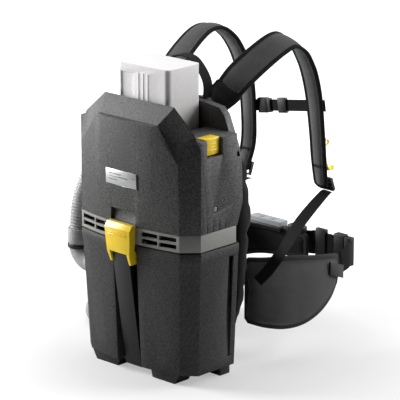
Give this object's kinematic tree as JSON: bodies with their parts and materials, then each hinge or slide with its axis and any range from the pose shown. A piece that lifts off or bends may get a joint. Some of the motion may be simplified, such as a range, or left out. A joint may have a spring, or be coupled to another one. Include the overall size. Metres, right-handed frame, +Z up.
{
  "type": "backpack vacuum cleaner",
  "caption": "Backpack vacuum cleaner: latched dust container with suction hose, fan and filters, battery with release button, and a padded harness with chest and hip buckles",
  "frame": {"origin": "on the floor under the centre of the machine with its harness, hose left out", "axes": "+X to the right seen from the front cover, -Y out of the front cover, +Y towards the wearer, +Z up"},
  "size_m": [0.5057, 0.54, 0.6257],
  "materials": {
    "casing_grey": "fine-grained moulded casing",
    "container_grey": "fine-grained moulded container",
    "band_grey": "light grey moulded band",
    "yellow": "signal yellow for what the hand works",
    "black_plastic": "black moulded plastic",
    "battery_case": "pale battery case",
    "hose_grey": "flexible corrugated hose",
    "rubber": "seals and motor seat",
    "steel": "turned pins, bearings and shaft",
    "label": "silver plate",
    "iron": "motor laminations",
    "strap_fabric": "padded nylon cloth with bound edges",
    "mesh_fabric": "spacer mesh over foam",
    "webbing": "woven webbing",
    "foam": "open-cell exhaust foam",
    "fleece": "fleece filter bag",
    "board": "circuit board",
    "control_grey": "control unit and its buttons"
  },
  "bodies": {
    "container": {"dust_container": "container_grey", "container_seal": "rubber", "filter_basket": "black_plastic", "filter_bag": "fleece", "inlet_elbow": "hose_grey", "hose_tube": "hose_grey", "hose_loop": "hose_grey", "hose_cuff": "black_plastic", "arm_pin": "steel"},
    "machine": {"adjuster_webbing_left": "webbing", "adjuster_webbing_right": "webbing", "back_frame": "black_plastic", "back_pad": "mesh_fabric", "battery_terminal": "black_plastic", "carry_handle": "webbing", "casing_screws": "steel", "catch_pin": "steel", "chest_buckle_socket": "black_plastic", "chest_slider": "black_plastic", "chest_webbing_left": "webbing", "circuit_board": "board", "control_unit": "control_grey", "exhaust_foam": "foam", "fan_housing": "black_plastic", "front_cover": "casing_grey", "hip_adjuster": "black_plastic", "hip_buckle_socket": "black_plastic", "hip_pad_left": "strap_fabric", "hip_pad_right": "strap_fabric", "hip_webbing_left": "webbing", "hose_hook": "yellow", "label_plate": "label", "ladder_lock_left": "black_plastic", "ladder_lock_right": "black_plastic", "lower_bearing": "steel", "upper_bearing": "steel", "motor_bracket": "black_plastic", "motor_deck": "black_plastic", "motor_seat": "rubber", "motor_stator": "iron", "shoulder_strap_left": "strap_fabric", "shoulder_strap_right": "strap_fabric", "upper_housing": "casing_grey", "vent_band": "band_grey", "webbing_keepers": "black_plastic"},
    "latch_arm": {"latch_arm": "black_plastic", "hook_pin": "steel"},
    "latch_hook": {"latch_hook": "yellow"},
    "fan_rotor": {"motor_shaft": "steel", "motor_rotor": "iron", "impeller": "band_grey"},
    "battery": {"battery_pack": "battery_case"},
    "release_button": {"release_button": "yellow"},
    "battery_catch": {"battery_catch": "black_plastic"},
    "power_button": {"power_button": "control_grey"},
    "level_button": {"level_button": "control_grey"},
    "chest_tongue": {"chest_buckle_tongue": "black_plastic", "chest_webbing_right": "webbing"},
    "hip_tongue": {"hip_buckle_tongue": "black_plastic", "hip_webbing_right": "webbing"}
  },
  "joints": [
    {"name": "machine_lift", "type": "slide", "parent": "container", "child": "machine", "axis": [0, 0, 1], "range_m": [0, 0.12]},
    {"name": "latch_arm_swing", "type": "hinge", "parent": "container", "child": "latch_arm", "pos_m": [0, -0.222, 0.022], "axis": [1, 0, 0], "range_deg": [0, 35]},
    {"name": "latch_hook_swing", "type": "hinge", "parent": "latch_arm", "child": "latch_hook", "pos_m": [0, -0.248, 0.236], "axis": [1, 0, 0], "range_deg": [0, 70]},
    {"name": "impeller_spin", "type": "hinge", "parent": "machine", "child": "fan_rotor", "pos_m": [0, -0.154, 0.33], "axis": [0, 0, 1], "continuous": true},
    {"name": "battery_lift", "type": "slide", "parent": "machine", "child": "battery", "axis": [0, 0, 1], "range_m": [0, 0.165]},
    {"name": "button_press", "type": "slide", "parent": "machine", "child": "release_button", "axis": [-1, 0, 0], "range_m": [0, 0.004], "stiffness_N_per_m": 400, "springref_m": -0.002},
    {"name": "catch_turn", "type": "hinge", "parent": "machine", "child": "battery_catch", "pos_m": [0.089, -0.171, 0.442], "axis": [0, -1, 0], "range_deg": [0, 14.3]},
    {"name": "power_press", "type": "slide", "parent": "machine", "child": "power_button", "axis": [0, 0, -1], "range_m": [0, 0.0015], "stiffness_N_per_m": 300, "springref_m": -0.001},
    {"name": "level_press", "type": "slide", "parent": "machine", "child": "level_button", "axis": [0, 0, -1], "range_m": [0, 0.0015], "stiffness_N_per_m": 300, "springref_m": -0.001},
    {"name": "chest_release", "type": "slide", "parent": "machine", "child": "chest_tongue", "axis": [0.9877, 0, 0.1564], "range_m": [0, 0.016]},
    {"name": "hip_release", "type": "slide", "parent": "machine", "child": "hip_tongue", "axis": [1, 0, 0], "range_m": [0, 0.0165]}
  ],
  "couplings": [
    {"joint": "catch_turn", "follows": "button_press", "rad_per_m": 58.8}
  ]
}
